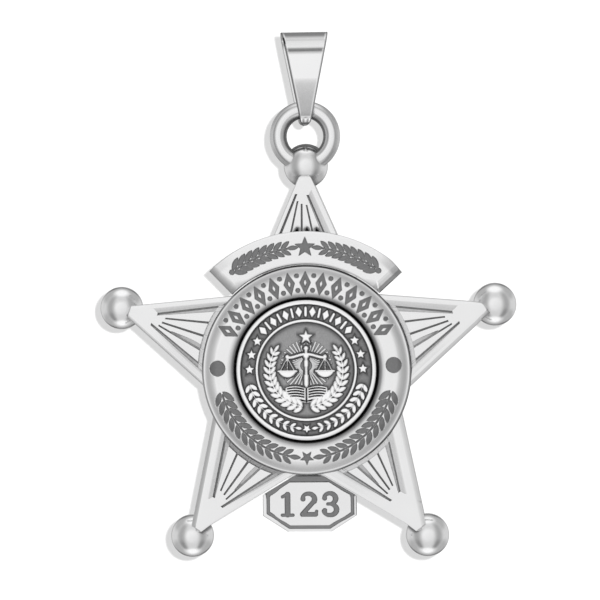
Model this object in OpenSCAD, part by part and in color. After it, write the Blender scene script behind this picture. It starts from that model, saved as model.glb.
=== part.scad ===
// Five-ray star badge made as a pendant: a cast star with ball tips and a hanging ring,
// a curved banner, a round panel, a seal, a number plate, and a folded bail for a chain.
// Millimetres, +Z up. The face looks along -Y. The origin is the middle of the chain
// passage in the bail, and the badge hangs below it.

/* [Star] */
// Height of the star's middle below the chain passage
star_drop = 24.51; // [20:0.01:32]
// Distance from the middle to the top ball
top_ray = 15.56; // [15.3:0.01:15.8]
// Distance from the middle to the two side balls
side_ray = 15.17; // [14.9:0.01:15.6]
// Distance from the middle to the two lower balls
low_ray = 15.63; // [15.3:0.01:15.9]
// Angle of the side rays from the top ray
side_angle = 71.3; // [70:0.1:73]
// Angle of the lower rays from the top ray
low_angle = 144.6; // [143.5:0.1:145.5]
// Half-angle between a ray's axis and its edge
ray_half_angle = 23.6; // [22:0.1:25]
// Radius of the four tip balls
ball_r = 1.65; // [1.5:0.01:1.8]
// Radius of the top ball, which the hanging ring is soldered into
top_ball_r = 1.70; // [1.6:0.01:1.85]
// How far the balls' middles lie behind the plane of the hanging ring
ball_set_back = 0.70; // [0.5:0.01:0.9]
// Height of the rays' front over the plane of the hanging ring
ray_front = 0.90; // [0.85:0.01:1.0]
// Depth of the star's flat back behind the plane of the hanging ring
star_back = 1.05; // [0.9:0.01:1.3]

/* [Hanging ring] */
// Mean radius of the ring
ring_r = 2.05; // [2.0:0.01:2.15]
// Radius of the ring's wire
ring_wire_r = 0.65; // [0.6:0.01:0.68]
// Height of the ring's middle over the star's middle
ring_height = 17.88; // [17.8:0.01:17.95]

/* [Panel, seal and banner] */
// Outer radius of the round panel
panel_r = 8.00; // [7.8:0.01:8.1]
// Radius of the opening in the round panel
panel_open_r = 5.56; // [5.5:0.01:5.7]
// Height of the panel's face over the plane of the hanging ring
panel_front = 1.56; // [1.45:0.01:1.7]
// How far the left and the right sunk dot lie above the panel's middle
dot_left_up = 0.18; // [0:0.01:0.6]
dot_right_up = 0.34; // [0:0.01:0.6]
// Outer radius of the seal
seal_r = 5.35; // [5.2:0.01:5.45]
// Outer radius of the banner
banner_r = 10.58; // [10.3:0.01:10.8]
// Half of the angle that the banner spans
banner_half_angle = 44; // [40:0.5:46]

/* [Number plate] */
// Half of the number plate's width
plate_half_w = 3.59; // [3.4:0.01:3.7]
// Distance from the star's middle to the plate's lower edge
plate_low = 12.40; // [12.2:0.01:12.6]
// Distance from the star's middle to the plate's upper corners
plate_high = 8.06; // [8.0:0.01:8.2]

/* [Bail] */
// Width of the bail at its top
bail_top_w = 3.60; // [3.4:0.01:3.8]
// Radius of the bail's rounded lower tip
bail_tip_r = 0.44; // [0.42:0.01:0.48]
// Outer radius of the roll that the chain runs through
bail_roll_r = 1.35; // [1.3:0.01:1.45]
// Thickness of the bail's sheet
bail_sheet = 0.42; // [0.38:0.01:0.46]
// Play between the ring's wire and the bail's lower eye
eye_play = 0.18; // [0.16:0.01:0.20]

/* [Hidden] */
gap = 0.02;
// Each ray: angle from the top, distance to its ball, where its fan of grooves starts, ball radius
RAYS = [
    [0, top_ray, 13.42, top_ball_r],
    [side_angle, side_ray, 12.06, ball_r],
    [-side_angle, side_ray, 12.06, ball_r],
    [low_angle, low_ray, 12.06, ball_r],
    [-low_angle, low_ray, 12.06, ball_r]
];
tip_back = 0.73;       // from a ball's middle to the ray's blunt end
tip_w = 0.13;          // half-width that a ray's edges would have at the ball's middle
spread = tan(ray_half_angle);
band_w = 0.36;         // light outer band of a ray's border
band_drop = 0.20;      // how far the band falls to the ray's edge
slope_drop = 0.28;     // how far the border's inner slope falls
channel_z = 0.45;      // floor of the grooves
pad_r = 7.10;          // raised middle of the star that carries panel and seal
pad_z = 0.95;
seat_z = 0.58;         // flat on the top ray that carries the banner
moat_r = 8.34;         // where the ribs end outside the panel
eye_r = ring_wire_r + eye_play;
eye_out = eye_r + bail_sheet;
hinge_z = ring_height + ring_r - star_drop;

// ---- helpers ----

// Places a shape drawn flat (x right, y up from the star's middle, z towards the viewer)
module on_face() {
    translate([0, 0, -star_drop]) rotate([90, 0, 0]) children();
}

function half_width(q) = tip_w + spread * q;

// Outline of one ray, from the star's middle to its blunt end, grown sideways by g
module ray_outline(len, g = 0) {
    e = len - tip_back + g;
    g2 = g / cos(ray_half_angle);
    polygon([
        [-half_width(len) - g2, 0], [half_width(len) + g2, 0],
        [half_width(tip_back + 0.16) + g2, e - 0.16],
        [half_width(tip_back) - 0.16 + g2, e],
        [-half_width(tip_back) + 0.16 - g2, e],
        [-half_width(tip_back + 0.16) - g2, e - 0.16]
    ]);
}

// Prism that runs along a ray's right edge; the section is given inwards from the edge
module along_edge(len, from, to, section) {
    translate([half_width(len), 0, 0]) rotate([0, 0, ray_half_angle])
        translate([0, to, 0]) rotate([90, 0, 0])
            linear_extrude(height = to - from) polygon([for (p = section) [-p[0], p[1]]]);
}

// Narrow groove from distance a to distance b on the ray's axis, with its offset and half-width at both
module groove(a, ta, wa, b, tb, wb, floor_z) {
    translate([0, 0, floor_z]) linear_extrude(height = 2)
        polygon([[ta - wa, a], [ta + wa, a], [tb + wb, b], [tb - wb, b]]);
}

// Five-pointed outline
module small_star(r) {
    polygon([for (i = [0:9]) let (q = i % 2 == 0 ? r : r * 0.40) [q * sin(36 * i), q * cos(36 * i)]]);
}

// Part of a flat ring between two radii, within an angle on both sides of the top
module ring_sector(r0, r1, half, z0, z1) {
    rotate([0, 0, 90 - half]) rotate_extrude(angle = 2 * half, $fn = 96)
        polygon([[r0, z0], [r1, z0], [r1, z1], [r0, z1]]);
}

// ---- star ----

module ray_body(len) {
    difference() {
        translate([0, 0, -star_back]) linear_extrude(height = star_back + ray_front) ray_outline(len);
        for (s = [0, 1]) mirror([s, 0, 0])
            along_edge(len, 0, len / cos(ray_half_angle), [
                [band_w, ray_front], [-0.2, ray_front - band_drop * (band_w + 0.2) / band_w],
                [-0.2, ray_front + 1], [band_w, ray_front + 1]
            ]);
    }
}

// Everything that is sunk into one ray: inner slopes, border grooves and three fine grooves
module ray_cuts(len, start) {
    edge = (half_width(len - start) - 0.50) * cos(ray_half_angle);
    for (s = [0, 1]) mirror([s, 0, 0]) {
        along_edge(len, 6.0, start / cos(ray_half_angle) - 0.10, [
            [band_w, ray_front], [edge, ray_front - slope_drop],
            [edge, ray_front + 1], [band_w, ray_front + 1]
        ]);
        groove(start, 0.50, 0.05, 6.2, 0.50 + 0.42 * (start - 6.2), 0.15, channel_z);
        groove(start - 0.69, 0.26, 0.06, 6.2, 0.26 + 0.25 * (start - 0.69 - 6.2), 0.09, channel_z + 0.02);
    }
    groove(start - 0.62, 0, 0.06, 6.2, 0, 0.09, channel_z + 0.02);
    // the ribs stop short of the panel
    intersection() {
        ring_sector(6.3, moat_r, 19, channel_z - 0.03, 3);
        groove(start, 0, 0.48, 6.0, 0, 0.48 + 0.42 * (start - 6.0), channel_z - 0.1);
    }
}

module star() {
    color([0.86, 0.86, 0.87]) {
        on_face() {
            difference() {
                for (r = RAYS) rotate([0, 0, -r[0]]) difference() {
                    ray_body(r[1]);
                    ray_cuts(r[1], r[2]);
                }
                // flat under the banner
                ring_sector(6.6, banner_r + 0.03, banner_half_angle + 2, seat_z, 3);
            }
            translate([0, 0, -star_back]) cylinder(r = pad_r, h = star_back + pad_z, $fn = 96);
            for (r = RAYS) rotate([0, 0, -r[0]])
                translate([0, r[1], -ball_set_back]) sphere(r = r[3], $fn = 72);
            translate([0, ring_height, 0])
                rotate_extrude($fn = 96) translate([ring_r, 0]) circle(r = ring_wire_r, $fn = 48);
        }
    }
}

// ---- panels ----

module round_panel() {
    z0 = pad_z + gap;
    color([0.84, 0.84, 0.85]) on_face() difference() {
        rotate_extrude($fn = 128) polygon([
            [panel_open_r, z0], [panel_r, z0], [panel_r, z0 + 0.26], [panel_r - 0.14, z0 + 0.32],
            [panel_r - 0.34, panel_front - 0.13], [panel_r - 0.75, panel_front - 0.04],
            [panel_r - 1.25, panel_front], [panel_open_r + 0.75, panel_front - 0.01],
            [panel_open_r + 0.34, panel_front - 0.05], [panel_open_r + 0.10, panel_front - 0.16],
            [panel_open_r, panel_front - 0.34]
        ]);
        // the two sunk dots between the upper and the lower ornament
        for (p = [[-6.77, dot_left_up], [6.67, dot_right_up]]) translate([p[0], p[1], panel_front - 0.16]) cylinder(r = 0.59, h = 1, $fn = 32);
    }
}

module banner() {
    in_r = panel_r + gap;
    top = panel_front - 0.10;
    color([0.84, 0.84, 0.85]) on_face()
        rotate([0, 0, 90 - banner_half_angle]) rotate_extrude(angle = 2 * banner_half_angle, $fn = 128) polygon([
            [pad_r + gap, seat_z + gap], [banner_r, seat_z + gap], [banner_r, top - 0.16],
            [banner_r - 0.20, top], [in_r, top], [in_r, pad_z - gap], [pad_r + gap, pad_z - gap]
        ]);
}

module seal() {
    z0 = pad_z + gap;
    color([0.62, 0.62, 0.63]) on_face() {
        rotate_extrude($fn = 96) polygon([
            [0, z0], [seal_r, z0], [seal_r, 1.42], [seal_r - 0.10, 1.50], [5.08, 1.50], [4.98, 1.26],
            [3.90, 1.26], [3.86, 1.44], [3.70, 1.44], [3.66, 1.22], [0, 1.22]
        ]);
        // three small raised stars on each side
        for (s = [-1, 1], a = [58, 73, 88]) rotate([0, 0, s * a])
            translate([0, 4.37, 1.20]) linear_extrude(height = 0.22) small_star(0.36);
        // plain balance between two raised branches, as a general sign of justice
        translate([0, 0, 1.18]) {
            translate([-0.09, -1.7, 0]) cube([0.18, 3.6, 0.28]);
            translate([-1.25, 1.15, 0]) cube([2.5, 0.16, 0.25]);
            translate([-0.75, -1.95, 0]) cube([1.5, 0.26, 0.28]);
            for (s = [-1, 1]) {
                translate([s * 1.18, 0.62, 0]) linear_extrude(height = 0.20)
                    polygon([[-0.05, 0.60], [0.05, 0.60], [0.50, -0.42], [-0.50, -0.42]]);
                translate([s * 1.18, 0.14, 0]) cylinder(r = 0.24, h = 0.25, $fn = 32);
            }
            translate([0, 2.25, 0]) linear_extrude(height = 0.26) small_star(0.42);
        }
    }
}

module plate_outline(in = 0) {
    cx = 1.95;
    cy = 1.25;
    w = plate_half_w - in;
    polygon([
        [-w + cx - in * 0.42, -plate_low + in], [w - cx + in * 0.42, -plate_low + in],
        [w, -plate_low + cy + in * 0.3], [w, -plate_high - cy - in * 0.3],
        [w - cx + in * 0.42, -plate_high - in], [-w + cx - in * 0.42, -plate_high - in],
        [-w, -plate_high - cy - in * 0.3], [-w, -plate_low + cy + in * 0.3]
    ]);
}

module number_plate() {
    color([0.86, 0.86, 0.87]) on_face() difference() {
        union() {
            translate([0, 0, -0.30]) linear_extrude(height = 0.75) plate_outline();
            // tab that is soldered in under the panel
            translate([-2.2, -8.3, -0.30]) cube([4.4, 1.15, 0.55]);
        }
        // line sunk around the plain field
        translate([0, 0, 0.33]) linear_extrude(height = 1) difference() {
            plate_outline(0.17);
            plate_outline(0.44);
        }
        // the two lower rays and the star's middle pass in front of the plate
        for (s = [-1, 1]) rotate([0, 0, s * low_angle])
            translate([0, 0, -3]) linear_extrude(height = 6) ray_outline(low_ray, gap);
        translate([0, 0, -3]) cylinder(r = pad_r + gap, h = 6, $fn = 96);
    }
}

// ---- bail ----

// Side view of the folded strip: a round roll on top, straight legs and a round eye, grown by g
module bail_side(roll, eye, wide) {
    k = (roll - eye) / -hinge_z;
    c = sqrt(1 - k * k) * 0.996;    // the legs meet the round parts just inside their tangents
    translate([-wide / 2, 0, 0]) rotate([90, 0, 90]) {
        cylinder(r = roll, h = wide, $fn = 64);
        translate([0, hinge_z, 0]) cylinder(r = eye, h = wide, $fn = 64);
        linear_extrude(height = wide)
            polygon([
                [roll * c, -roll * k], [-roll * c, -roll * k],
                [-eye * c, hinge_z - eye * k], [eye * c, hinge_z - eye * k]
            ]);
    }
}

// Front view of the strip: straight tapering sides and a round tip
module bail_front() {
    h = bail_roll_r;
    tip_z = hinge_z - eye_out + bail_tip_r;
    hw = bail_top_w / 2;
    // tangent from the top corner to the tip's circle
    d = sqrt(hw * hw + (h - tip_z) * (h - tip_z));
    a = atan2(hw, h - tip_z) + asin(bail_tip_r / d) - 2 * asin(bail_tip_r / d);
    tx = bail_tip_r * cos(a) * 0.996;
    tz = tip_z - bail_tip_r * sin(a);
    translate([0, 5, 0]) rotate([90, 0, 0]) {
        linear_extrude(height = 10) polygon([[-hw, h], [hw, h], [tx, tz], [-tx, tz]]);
        translate([0, tip_z, 0]) cylinder(r = bail_tip_r, h = 10, $fn = 48);
    }
}

module bail() {
    color([0.88, 0.88, 0.89]) intersection() {
        difference() {
            bail_side(bail_roll_r, eye_out, 4.4);
            bail_side(bail_roll_r - bail_sheet, eye_r, 5);
        }
        bail_front();
    }
}

star();
banner();
round_panel();
seal();
number_plate();
bail();
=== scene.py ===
"""Looks of the star badge pendant: polished silver with darkened grooves, hanging before a plain pale backdrop."""
import math

import bpy
import numpy as np
from mathutils import Matrix, Vector


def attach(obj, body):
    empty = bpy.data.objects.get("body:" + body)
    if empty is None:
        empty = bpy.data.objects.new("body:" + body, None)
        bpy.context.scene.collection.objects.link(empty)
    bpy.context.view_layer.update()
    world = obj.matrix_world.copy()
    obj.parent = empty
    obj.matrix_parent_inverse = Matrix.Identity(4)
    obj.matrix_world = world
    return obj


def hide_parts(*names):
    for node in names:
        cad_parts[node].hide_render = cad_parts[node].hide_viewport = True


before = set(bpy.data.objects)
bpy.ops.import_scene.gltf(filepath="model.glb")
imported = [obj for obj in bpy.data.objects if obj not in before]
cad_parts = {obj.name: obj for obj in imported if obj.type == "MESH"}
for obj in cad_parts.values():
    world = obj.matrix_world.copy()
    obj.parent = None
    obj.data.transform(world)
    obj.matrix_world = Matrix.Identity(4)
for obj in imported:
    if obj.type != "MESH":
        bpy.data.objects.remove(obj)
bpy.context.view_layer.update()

# ---------------------------------------------------------------- sizes, in millimetres, as in the part
MM = 0.001
STAR_DROP = 24.51
TOP_RAY, SIDE_RAY, LOW_RAY = 15.56, 15.17, 15.63
SIDE_ANGLE, LOW_ANGLE = 71.3, 144.6
HALF_ANGLE = math.radians(23.6)
SPREAD, TIP_W, TIP_BACK = math.tan(HALF_ANGLE), 0.13, 0.73
BALL_R, TOP_BALL_R, BALL_BACK = 1.65, 1.70, 0.70
TOP_BALL_UP = 0.09  # the top ball sits a little higher on its ray
RAY_FRONT, STAR_BACK = 0.90, 1.05
RING_R, WIRE_R, RING_UP = 2.05, 0.65, 17.88
PANEL_R, PANEL_OPEN, PANEL_FRONT = 8.00, 5.50, 1.56
SEAL_R, BANNER_R, BANNER_HALF = 5.35, 10.58, 44.0
PAD_R, PAD_Z, SEAT_Z, GAP = 7.10, 0.95, 0.58, 0.02
CHANNEL_Z, GROOVE_Z, MOAT_R, BEVEL = 0.45, 0.60, 8.34, 0.35
PLATE_W, PLATE_LOW, PLATE_HIGH = 3.59, 12.40, 8.06
BAIL_W, BAIL_TIP, BAIL_ROLL, SHEET, EYE = 3.60, 0.44, 1.35, 0.42, 0.83
HINGE_Z = RING_UP + RING_R - STAR_DROP
# One side of a ray's border: where it faces ("up" or "down"), its width at the arrowhead and at the panel, the width of
# the bevel along the silhouette, where the channel starts, where the groove beside it starts, the channel's widths, how
# far the border dips towards the channel, the painted shade of its inner part (value, from, to, and of the rest), of
# the bevel, and of the outline (value, width), a value below zero being a painted highlight, and how much wider than
# the others this side is.
UP_LEFT = ("up", 1.20, 1.20, 0.37, 12.08, 11.35, (0.20, 0.48), 0.060, (0.29, 0.44, 0.58, 0.0), 0.04, (0.28, 0.046), 0.0)
UP_RIGHT = ("up", 1.36, 1.36, 0.36, 11.66, 10.97, (0.20, 0.46), 0.060, (0.29, 0.44, 0.60, 0.0), 0.04, (0.0, 0.046), 0.0)
UP_FLAT_L = ("up", 0.77, 0.69, 0.12, 12.20, 11.53, (0.20, 0.42), 0.060, (0.26, 0.84, 1.00, 0.0), 0.0, (0.15, 0.046), 0.0)
UP_FLAT_R = ("up", 0.87, 0.80, 0.12, 11.95, 11.28, (0.20, 0.42), 0.060, (0.25, 0.80, 1.00, 0.0), 0.0, (0.15, 0.046), 0.0)
LOW_OUT = ("down", 1.13, 1.28, 0.30, 12.19, 11.60, (0.17, 0.32), 0.050, (0.30, 0.0, 0.42, 0.09), 0.15, (0.20, 0.046), 0.12)
LOW_IN = ("down", 0.93, 1.09, 0.07, 12.44, 11.85, (0.17, 0.36), 0.050, (0.32, 0.10, 0.55, 0.08), 0.0, (0.48, 0.10), 0.0)
LOW_LEFT = ("down", 0.82, 0.94, 0.07, 12.33, 11.65, (0.17, 0.38), 0.050, (0.32, 0.10, 0.60, 0.08), 0.0, (0.30, 0.050), -0.11)
LOW_RIGHT = ("down", 1.03, 1.19, 0.07, 11.82, 11.25, (0.17, 0.36), 0.050, (0.30, 0.0, 0.42, 0.06), 0.0, (0.45, 0.060), -0.13)
TOP_LEFT = ("up", 0.31, 0.37, 0.10, 13.42, 12.88, (0.15, 0.22), 0.020, (0.0, 0.5, 0.6, 0.0), 0.0, (0.10, 0.046), 0.0)
TOP_RIGHT = ("up", 0.73, 0.80, 0.10, 13.34, 12.58, (0.17, 0.28), 0.050, (0.27, 0.75, 1.00, 0.0), -0.5, (-0.9, 0.046), 0.0)
RAYS = [  # angle from the top, distance to the ball, start of the middle groove, ball radius, sides (left, right of the axis)
    (0.0, TOP_RAY, 12.67, TOP_BALL_R, TOP_LEFT, TOP_RIGHT),
    (SIDE_ANGLE, SIDE_RAY, 11.42, BALL_R, UP_FLAT_R, LOW_OUT),
    (-SIDE_ANGLE, SIDE_RAY, 11.67, BALL_R, LOW_IN, UP_FLAT_L),
    (LOW_ANGLE, LOW_RAY, 11.07, BALL_R, UP_RIGHT, LOW_RIGHT),
    (-LOW_ANGLE, LOW_RAY, 11.45, BALL_R, LOW_LEFT, UP_LEFT),
]


# ---------------------------------------------------------------- mesh helpers
def on_face(u, v, h):
    """Face coordinates (right, up from the star's middle, towards the viewer) to the frame, in metres."""
    u, v, h = np.broadcast_arrays(np.asarray(u, float), np.asarray(v, float), np.asarray(h, float))
    return np.stack([u, -h, v - STAR_DROP], -1).reshape(-1, 3) * MM


def smooth(x, a, b):
    t = np.clip((np.asarray(x, float) - a) / (b - a), 0, 1)
    return t * t * (3 - 2 * t)


def grid_quads(rows, cols, close_rows=False, close_cols=False, start=0):
    i = np.arange(rows if close_rows else rows - 1)
    j = np.arange(cols if close_cols else cols - 1)
    i, j = np.meshgrid(i, j, indexing="ij")
    i2, j2 = (i + 1) % rows, (j + 1) % cols
    return (np.stack([i * cols + j, i * cols + j2, i2 * cols + j2, i2 * cols + j], -1).reshape(-1, 4) + start)


def signed_volume(verts, faces):
    total = 0.0
    for f in faces:
        f = np.asarray(f)
        if f.ndim == 1:
            f = f[None]
        a = verts[f[:, 0]]
        for k in range(1, f.shape[1] - 1):
            total += float(np.einsum("ij,ij->i", a, np.cross(verts[f[:, k]], verts[f[:, k + 1]])).sum())
    return total


def make_mesh(name, verts, faces, attrs=None, sharp=math.radians(32)):
    """faces: list of (n, k) index arrays or of single polygons. Turned outwards if they face inwards."""
    verts = np.asarray(verts, float)
    if signed_volume(verts, faces) < 0:
        faces = [np.asarray(f)[..., ::-1] for f in faces]
    loops, starts, n = [], [], 0
    for f in faces:
        f = np.asarray(f)
        if f.ndim == 1:
            f = f[None]
        loops.append(f.reshape(-1))
        starts.append(n + np.arange(f.shape[0]) * f.shape[1])
        n += f.size
    loops, starts = np.concatenate(loops), np.concatenate(starts)
    me = bpy.data.meshes.new(name)
    me.vertices.add(len(verts))
    me.vertices.foreach_set("co", verts.reshape(-1))
    me.loops.add(len(loops))
    me.loops.foreach_set("vertex_index", loops.astype(np.int32))
    me.polygons.add(len(starts))
    me.polygons.foreach_set("loop_start", starts.astype(np.int32))
    me.update(calc_edges=True)
    me.validate()
    for key, values in (attrs or {}).items():
        at = me.attributes.new(key, "FLOAT", "POINT")
        at.data.foreach_set("value", np.asarray(values, np.float32).reshape(-1))
    shade(me, sharp)
    ob = bpy.data.objects.new(name, me)
    bpy.context.scene.collection.objects.link(ob)
    return ob


def shade(me, sharp):
    me.polygons.foreach_set("use_smooth", [True] * len(me.polygons))
    me.set_sharp_from_angle(angle=sharp)


def vertices_of(me):
    co = np.empty(len(me.vertices) * 3)
    me.vertices.foreach_get("co", co)
    return co.reshape(-1, 3)


def values_of(me, key):
    out = np.zeros(len(me.vertices), np.float32)
    if key in me.attributes:
        me.attributes[key].data.foreach_get("value", out)
    return out


def union(target, others, key="dark"):
    """Joins closed meshes into one solid; each vertex keeps the value painted nearest to it."""
    from mathutils.kdtree import KDTree

    co = np.concatenate([vertices_of(o.data) for o in [target] + others]) / MM
    val = np.concatenate([values_of(o.data, key) for o in [target] + others])
    for other in others:
        m = target.modifiers.new("join", "BOOLEAN")
        m.operation, m.solver, m.object = "UNION", "MANIFOLD", other
        bpy.context.view_layer.update()
        deps = bpy.context.evaluated_depsgraph_get()
        made = bpy.data.meshes.new_from_object(target.evaluated_get(deps))
        target.modifiers.clear()
        old, target.data = target.data, made
        bpy.data.meshes.remove(old)
        used = other.data
        bpy.data.objects.remove(other)
        bpy.data.meshes.remove(used)
    tree = KDTree(len(co))
    for i, c in enumerate(co):
        tree.insert(c, i)
    tree.balance()
    me = target.data
    values = np.array([val[tree.find(c)[1]] for c in vertices_of(me) / MM], np.float32)
    if key in me.attributes:
        me.attributes.remove(me.attributes[key])
    at = me.attributes.new(key, "FLOAT", "POINT")
    at.data.foreach_set("value", values)
    return target


# ---------------------------------------------------------------- distance fields for ornament
def sd_disc(x, y, cx, cy, r):
    return np.hypot(x - cx, y - cy) - r


def sd_line(x, y, ax, ay, bx, by, r):
    px, py, qx, qy = x - ax, y - ay, bx - ax, by - ay
    k = np.clip((px * qx + py * qy) / (qx * qx + qy * qy), 0, 1)
    return np.hypot(px - qx * k, py - qy * k) - r


def sd_leaf(x, y, cx, cy, ang, half_len, half_w):
    """Pointed leaf whose length runs along the direction ang (radians)."""
    c, s = math.cos(ang), math.sin(ang)
    ly, lx = np.abs((x - cx) * c + (y - cy) * s), np.abs(-(x - cx) * s + (y - cy) * c)
    big = (half_len**2 + half_w**2) / (2 * half_w)
    d = big - half_w
    return np.where((ly - half_len) * d > lx * half_len, np.hypot(lx, ly - half_len), np.hypot(lx + d, ly) - big)


def sd_star(x, y, cx, cy, r, turn=0.0, inner=0.42):
    """Five-pointed star, one point along the direction turn from the top."""
    px, py = x - cx, y - cy
    a = np.arctan2(px, py) - turn
    q = np.abs((a + math.pi / 5) % (2 * math.pi / 5) - math.pi / 5)
    rad = np.hypot(px, py)
    sx, sy = rad * np.sin(q), rad * np.cos(q)
    ex, ey = r * inner * math.sin(math.pi / 5), r * inner * math.cos(math.pi / 5)
    dx, dy = ex, ey - r
    return ((sy - r) * dx - sx * dy) / math.hypot(dx, dy)


def sd_lozenge(x, y, cx, cy, ang, half_len, half_w):
    c, s = math.cos(ang), math.sin(ang)
    ly, lx = np.abs((x - cx) * c + (y - cy) * s), np.abs(-(x - cx) * s + (y - cy) * c)
    return (lx * half_len + ly * half_w - half_len * half_w) / math.hypot(half_len, half_w)


class Field:
    """Smallest distance to a growing set of shapes, worked out only near each shape."""

    def __init__(self, x, y):
        self.x, self.y = x.reshape(-1), y.reshape(-1)
        self.shape = x.shape
        self.d = np.full(self.x.shape, 9.0)

    def add(self, cx, cy, reach, fn):
        near = np.nonzero((np.abs(self.x - cx) < reach) & (np.abs(self.y - cy) < reach))[0]
        if len(near):
            self.d[near] = np.minimum(self.d[near], fn(self.x[near], self.y[near]))

    def cut(self, cx, cy, reach, fn):
        near = np.nonzero((np.abs(self.x - cx) < reach) & (np.abs(self.y - cy) < reach))[0]
        if len(near):
            self.d[near] = np.maximum(self.d[near], -fn(self.x[near], self.y[near]))

    def out(self):
        return self.d.reshape(self.shape)


def polar(r, deg):
    """Point at a radius and an angle from the top, to the right."""
    a = math.radians(deg)
    return r * math.sin(a), r * math.cos(a)


def add_leaf(f, r, deg, lean, half_len, half_w):
    """A leaf at a place on a circle; lean is its angle from the direction in which deg grows."""
    cx, cy = polar(r, deg)
    ang = -math.radians(deg) + math.radians(lean)
    f.add(cx, cy, half_len + 0.3, lambda x, y: sd_leaf(x, y, cx, cy, ang, half_len, half_w))


def add_branch(f, r, start, end, n, half_len, half_w, lean, off, stem=0.05):
    """A laurel branch along a circle from angle start to angle end: pairs of leaves on a thin stem."""
    way = 1 if end > start else -1
    for i in range(n):
        deg = start + (end - start) * (i + 0.35) / n
        size = 1.0 - 0.22 * (i / (n - 1)) ** 2
        turn = 0.0 if way > 0 else 180.0
        add_leaf(f, r + off * size, deg, turn + way * lean, half_len * size, half_w * size)
        add_leaf(f, r - off * size, deg, turn - way * lean, half_len * size, half_w * size)
    add_leaf(f, r, end + way * 1.0, 0.0, half_len * 0.8, half_w * 0.8)
    steps = 2 * n
    for i in range(steps):
        ax, ay = polar(r, start + (end - start) * i / steps)
        bx, by = polar(r, start + (end - start) * (i + 1) / steps)
        f.add((ax + bx) / 2, (ay + by) / 2, 1.0, lambda x, y: sd_line(x, y, ax, ay, bx, by, stem))


# ---------------------------------------------------------------- star
def half_width(q):
    return TIP_W + SPREAD * q


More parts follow.
